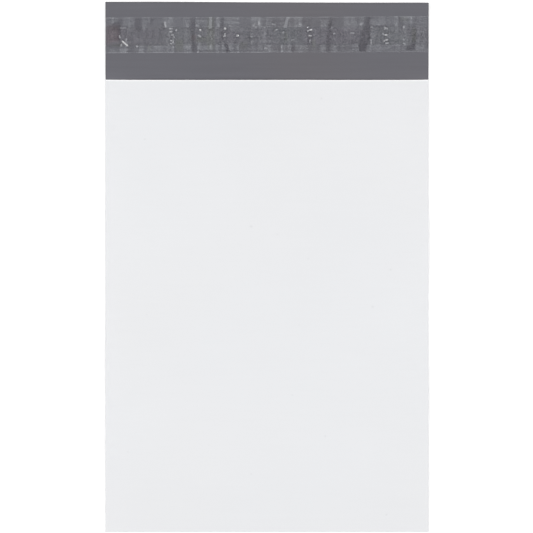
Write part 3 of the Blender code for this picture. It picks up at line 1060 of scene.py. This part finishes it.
def make_liner(material):
    x, v = np.meshgrid(liner_columns(), liner_lines())
    y = strip_y(x, v)
    mm_x = x / MM
    mm_v = v / MM
    wobbly_x = mm_x + WOBBLE * swell(x, v, WOBBLE_WAVE, SEED + 63)
    aired = streak_field(AIRED, wobbly_x, mm_v, AIRED_SOFT)
    calm = streak_field(CALM, mm_x, mm_v, AIRED_SOFT)
    wetted = streak_field(WETTED, wobbly_x, mm_v, WETTED_SOFT)
    close = 1 - WETTED_FLATTER * np.clip(wetted, 0, 1)
    folds, white, beside = fold_field(x, v)
    bubbles, rim = bubble_field(x, v)

    from_middle = abs(v - BAND_DROP)
    off_band = smooth(BAND_WIDTH / 2 - STEP_INSIDE, BAND_WIDTH / 2 + STEP_OUTSIDE, from_middle)
    on_band = BAND_SEAT + BAND_THICKNESS * OVER_BAND
    seat = on_band * (1 - off_band) + OFF_BAND * off_band + LINER_SEAT
    loose = LOOSE_LIFT * (1 + swell(x, v * LOOSE_DRAWN, LOOSE_WAVE, SEED + 60))
    loose = loose + AIR_LIFT * np.maximum(aired, 0)
    from_edge = LINER_WIDTH / 2 - abs(v)
    edge = 1 - smooth(0, RIM_REACH, from_edge)
    loose = (loose + RIM_LIFT * edge * uneven(x, RIM_UNEVEN, SEED + 61)) * close
    height = FILM_GAUGE + ground(x, y) + seat + np.maximum(loose, 0) + bubbles + folds
    middle = np.stack((x, y, height + LINER_THICKNESS / 2), axis=-1)
    liner = shell("release_liner_skin", middle, LINER_THICKNESS, [material])

    on_margin = smooth(BAND_WIDTH / 2 - MARGIN_INSIDE, BAND_WIDTH / 2 + MARGIN_OUTSIDE, from_middle)
    haze = (HAZE_MARGIN * on_margin + HAZE_BASE) * (1 - calm) + HAZE_EVEN * calm
    mark(liner, "aired", np.clip((aired + haze) * close, 0, HAZE_MOST))
    mark(liner, "calm", calm)
    dark = WETTED_DARK * wetted * (1 - white) + BUBBLE_DARK * rim + BESIDE_DARK * beside
    mark(liner, "wetted", np.clip(dark, 0, 1))
    # A painted highlight along the liner's cut edges, brighter on the lower one, stored with the folds'
    # painted glints
    line = (1 - smooth(*EDGE_GLINT_WIDTH, from_edge)) * (EDGE_GLINT_BASE + EDGE_GLINT_AIRED * np.clip(aired, 0, 1))
    line = line * np.where(v < 0, *EDGE_GLINT_SIDES)
    mark(liner, "white", np.maximum(white, line))
    mark(liner, "red", sum(tint.red * tint_share(tint, mm_x, mm_v) for tint in TINTS))
    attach(liner, "root")
    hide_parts("release_liner")


# The studio


def seen(tree):
    """1 for rays that come from the camera, straight or by way of something glossy or clear."""
    rays = add_node(tree, "LightPath").outputs
    direct = maths(tree, "MAXIMUM", rays["Is Camera Ray"], rays["Is Glossy Ray"])
    return maths(tree, "MAXIMUM", direct, rays["Is Transmission Ray"])


def make_floor():
    """A pale table top that shows white, apart from the bag's own soft shadow."""
    bpy.ops.mesh.primitive_plane_add(size=24, location=(0, 0, -0.0001))
    floor = bpy.context.object
    floor.name = "floor"
    material, tree = new_tree("pale_floor")
    away = add_node(tree, "VectorMath", {0: own_place(tree)}, operation="LENGTH").outputs["Value"]
    strength = maths(tree, "MULTIPLY", seen(tree), remap(tree, away, 0.3, 1.6, 0.36, 1))
    shader = add_node(tree, "BsdfDiffuse", {"Color": (0.86, 0.86, 0.86, 1)})
    glow = add_node(tree, "Emission", {"Color": (1, 1, 1, 1), "Strength": strength})
    finish_tree(tree, add_node(tree, "AddShader", {0: shader, 1: glow}))
    floor.data.materials.append(material)


def make_world(near_side, far_side):
    """White wherever it is seen. It lights the bag softly, and most from the flap's side."""
    world = bpy.data.worlds.new("studio")
    bpy.context.scene.world = world
    world.use_nodes = True
    tree = world.node_tree
    tree.nodes.clear()
    way = add_node(tree, "SeparateXYZ", {"Vector": add_node(tree, "TexCoord").outputs["Generated"]})
    light = remap(tree, way.outputs["Y"], -0.7, 0.7, near_side, far_side)
    level = add_node(tree, "Mix", {0: seen(tree), 2: light, 3: 1})
    sky = add_node(tree, "Background", {"Color": (1, 1, 1, 1), "Strength": level})
    add_node(tree, "OutputWorld", {"Surface": sky})


def make_lamp(name, place, width, length, level):
    """A soft box aimed at the bag. level is its radiance, so its power follows from its size."""
    data = bpy.data.lights.new(name, "AREA")
    data.shape = "RECTANGLE"
    data.size = width
    data.size_y = length
    data.energy = level * math.pi * width * length
    lamp = add_object(name, data)
    lamp.location = place
    lamp.rotation_euler = (-Vector(place)).to_track_quat("-Z", "Y").to_euler()


def make_camera():
    """Straight above the bag, with a long lens that frames it as the photograph does."""
    data = bpy.data.cameras.new("camera")
    data.lens = 200
    data.sensor_width = 36
    data.clip_start = 0.1
    data.clip_end = 40
    camera = add_object("camera", data)
    right, up = MIDDLE_PIXEL
    away = PIXELS_ACROSS * PIXEL * data.lens / data.sensor_width
    camera.location = (right * PIXEL, up * PIXEL, away)
    bpy.context.scene.camera = camera


def main():
    outside = film_material("film_outside", OUTSIDE, show_gels_and_lip_highlight)
    inside = film_material("film_inside", INSIDE, darken_edges_and_paint_mouth_light)
    make_film(outside, inside)
    weld = weld_material()
    make_weld(-1, weld)
    make_weld(1, weld)
    make_band(hot_melt_material())
    make_liner(liner_material())

    make_floor()
    make_world(near_side=0.24, far_side=0.34)
    make_lamp("soft_box_left", (-1.6, -0.10, 1.72), width=0.50, length=0.90, level=18.2)
    make_lamp("soft_box_right", (1.6, -0.10, 1.72), width=0.50, length=0.90, level=17.6)
    make_lamp("soft_box_top", (0.0, 1.75, 1.55), width=0.42, length=0.22, level=5)
    make_camera()
    bpy.context.scene.view_settings.view_transform = "Standard"


main()
